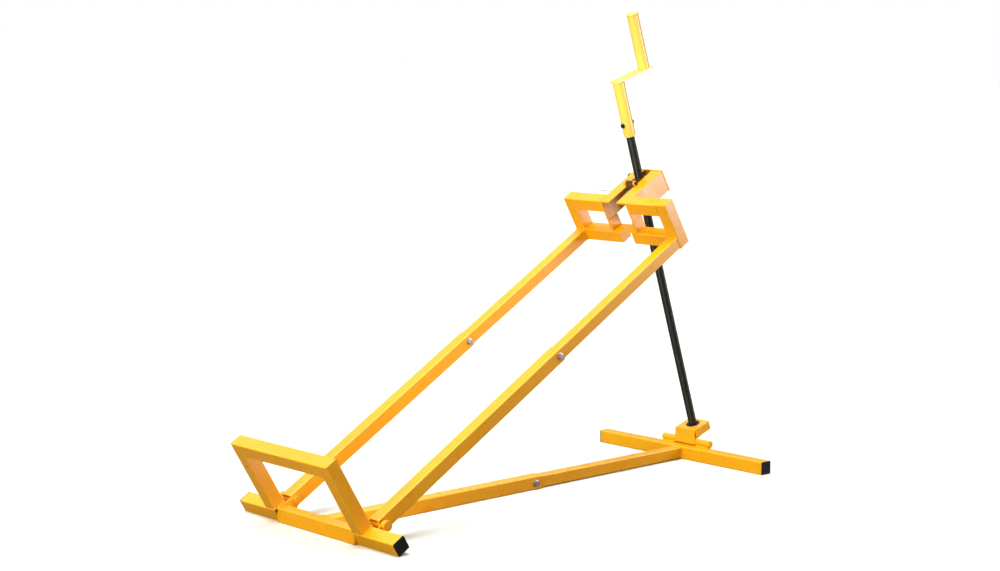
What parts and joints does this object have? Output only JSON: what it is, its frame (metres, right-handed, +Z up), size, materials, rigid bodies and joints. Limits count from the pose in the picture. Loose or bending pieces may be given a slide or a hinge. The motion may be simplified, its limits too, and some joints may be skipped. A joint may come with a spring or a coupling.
{
  "type": "lawn mower lift",
  "caption": "Tilting lawn mower lift: square-tube base, two-rail arm hinged at the rear with a wheel stop, raised by a hand-cranked screw spindle.",
  "frame": {"origin": "on the floor under the middle of the bounding box, arm raised as in the picture", "axes": "+X from the rear cross tube to the wide front foot, +Y to the left when looking along +X, +Z up"},
  "size_m": [1.6592, 0.688, 1.3953],
  "materials": {
    "yellow_paint": "gloss powder coat",
    "black_cap": "moulded matt",
    "zinc_steel": "zinc plated",
    "dark_steel": "blackened, oiled"
  },
  "bodies": {
    "base": {"rear_cross_tube": "yellow_paint", "rear_lug_left": "yellow_paint", "rear_lug_right": "yellow_paint", "rear_pin_left": "yellow_paint", "rear_pin_right": "yellow_paint", "base_beam_rear": "yellow_paint", "base_beam_front": "yellow_paint", "base_beam_bolt": "zinc_steel", "front_foot_tube": "yellow_paint", "front_foot_cap_left": "black_cap", "front_foot_cap_right": "black_cap", "foot_barrel_left": "yellow_paint", "foot_barrel_right": "yellow_paint", "foot_hinge_pin": "yellow_paint"},
    "arm": {"arm_tube_lower_left": "yellow_paint", "arm_tube_upper_left": "yellow_paint", "arm_bolt_left": "zinc_steel", "arm_barrel_left": "yellow_paint", "head_post_left": "yellow_paint", "head_top_bar_left": "yellow_paint", "head_low_bar_left": "yellow_paint", "head_inner_plate_left": "yellow_paint", "channel_left": "yellow_paint", "nut_lug_left": "yellow_paint", "arm_tube_lower_right": "yellow_paint", "arm_tube_upper_right": "yellow_paint", "arm_bolt_right": "zinc_steel", "arm_barrel_right": "yellow_paint", "head_post_right": "yellow_paint", "head_top_bar_right": "yellow_paint", "head_low_bar_right": "yellow_paint", "head_inner_plate_right": "yellow_paint", "channel_right": "yellow_paint", "nut_lug_right": "yellow_paint", "head_bridge_plate": "yellow_paint", "channel_front_plate": "yellow_paint", "channel_screw": "dark_steel", "nut_pin": "dark_steel", "lock_pin": "zinc_steel", "lock_pin_ring": "zinc_steel"},
    "stop": {"stop_top_bar": "yellow_paint", "stop_leg_left": "yellow_paint", "stop_stub_left": "yellow_paint", "stop_cap_left": "black_cap", "stop_lug_left": "yellow_paint", "stop_leg_right": "yellow_paint", "stop_stub_right": "yellow_paint", "stop_cap_right": "black_cap", "stop_lug_right": "yellow_paint"},
    "foot_bracket": {"foot_bracket": "yellow_paint", "bearing_block": "yellow_paint", "thrust_bearing": "dark_steel"},
    "spindle": {"spindle": "dark_steel", "spindle_lock_nut": "dark_steel", "crank_socket": "yellow_paint", "crank_bolt": "dark_steel", "crank_bar": "yellow_paint", "grip_pin": "yellow_paint"},
    "grip": {"grip_sleeve": "yellow_paint"},
    "nut": {"nut_block": "dark_steel"}
  },
  "joints": [
    {"name": "arm_lift", "type": "hinge", "parent": "base", "child": "arm", "pos_m": [-0.64585, 0, 0.05177], "axis": [0, -1, 0], "range_deg": [-30.4, 0]},
    {"name": "foot_pivot", "type": "hinge", "parent": "base", "child": "foot_bracket", "pos_m": [0.76389, 0, 0.05177], "axis": [0, -1, 0], "range_deg": [-15.25, 0.05]},
    {"name": "nut_pivot", "type": "hinge", "parent": "arm", "child": "nut", "pos_m": [0.49465, 0, 0.8804], "axis": [0, -1, 0], "range_deg": [-0.05, 15.25]},
    {"name": "spindle_turn", "type": "hinge", "parent": "foot_bracket", "child": "spindle", "pos_m": [0.80193, 0, 0.06413], "axis": [-0.309, 0, 0.9511], "continuous": true},
    {"name": "grip_turn", "type": "hinge", "parent": "spindle", "child": "grip", "pos_m": [0.54828, 0, 1.22665], "axis": [-0.309, 0, 0.9511], "continuous": true},
    {"name": "stop_fold", "type": "hinge", "parent": "arm", "child": "stop", "pos_m": [-0.64585, 0, 0.05177], "axis": [0, 1, 0], "range_deg": [0, 90]}
  ],
  "couplings": [
    {"joint": "foot_pivot", "follows": "arm_lift", "ratio": 0.5},
    {"joint": "nut_pivot", "follows": "arm_lift", "ratio": -0.5}
  ]
}
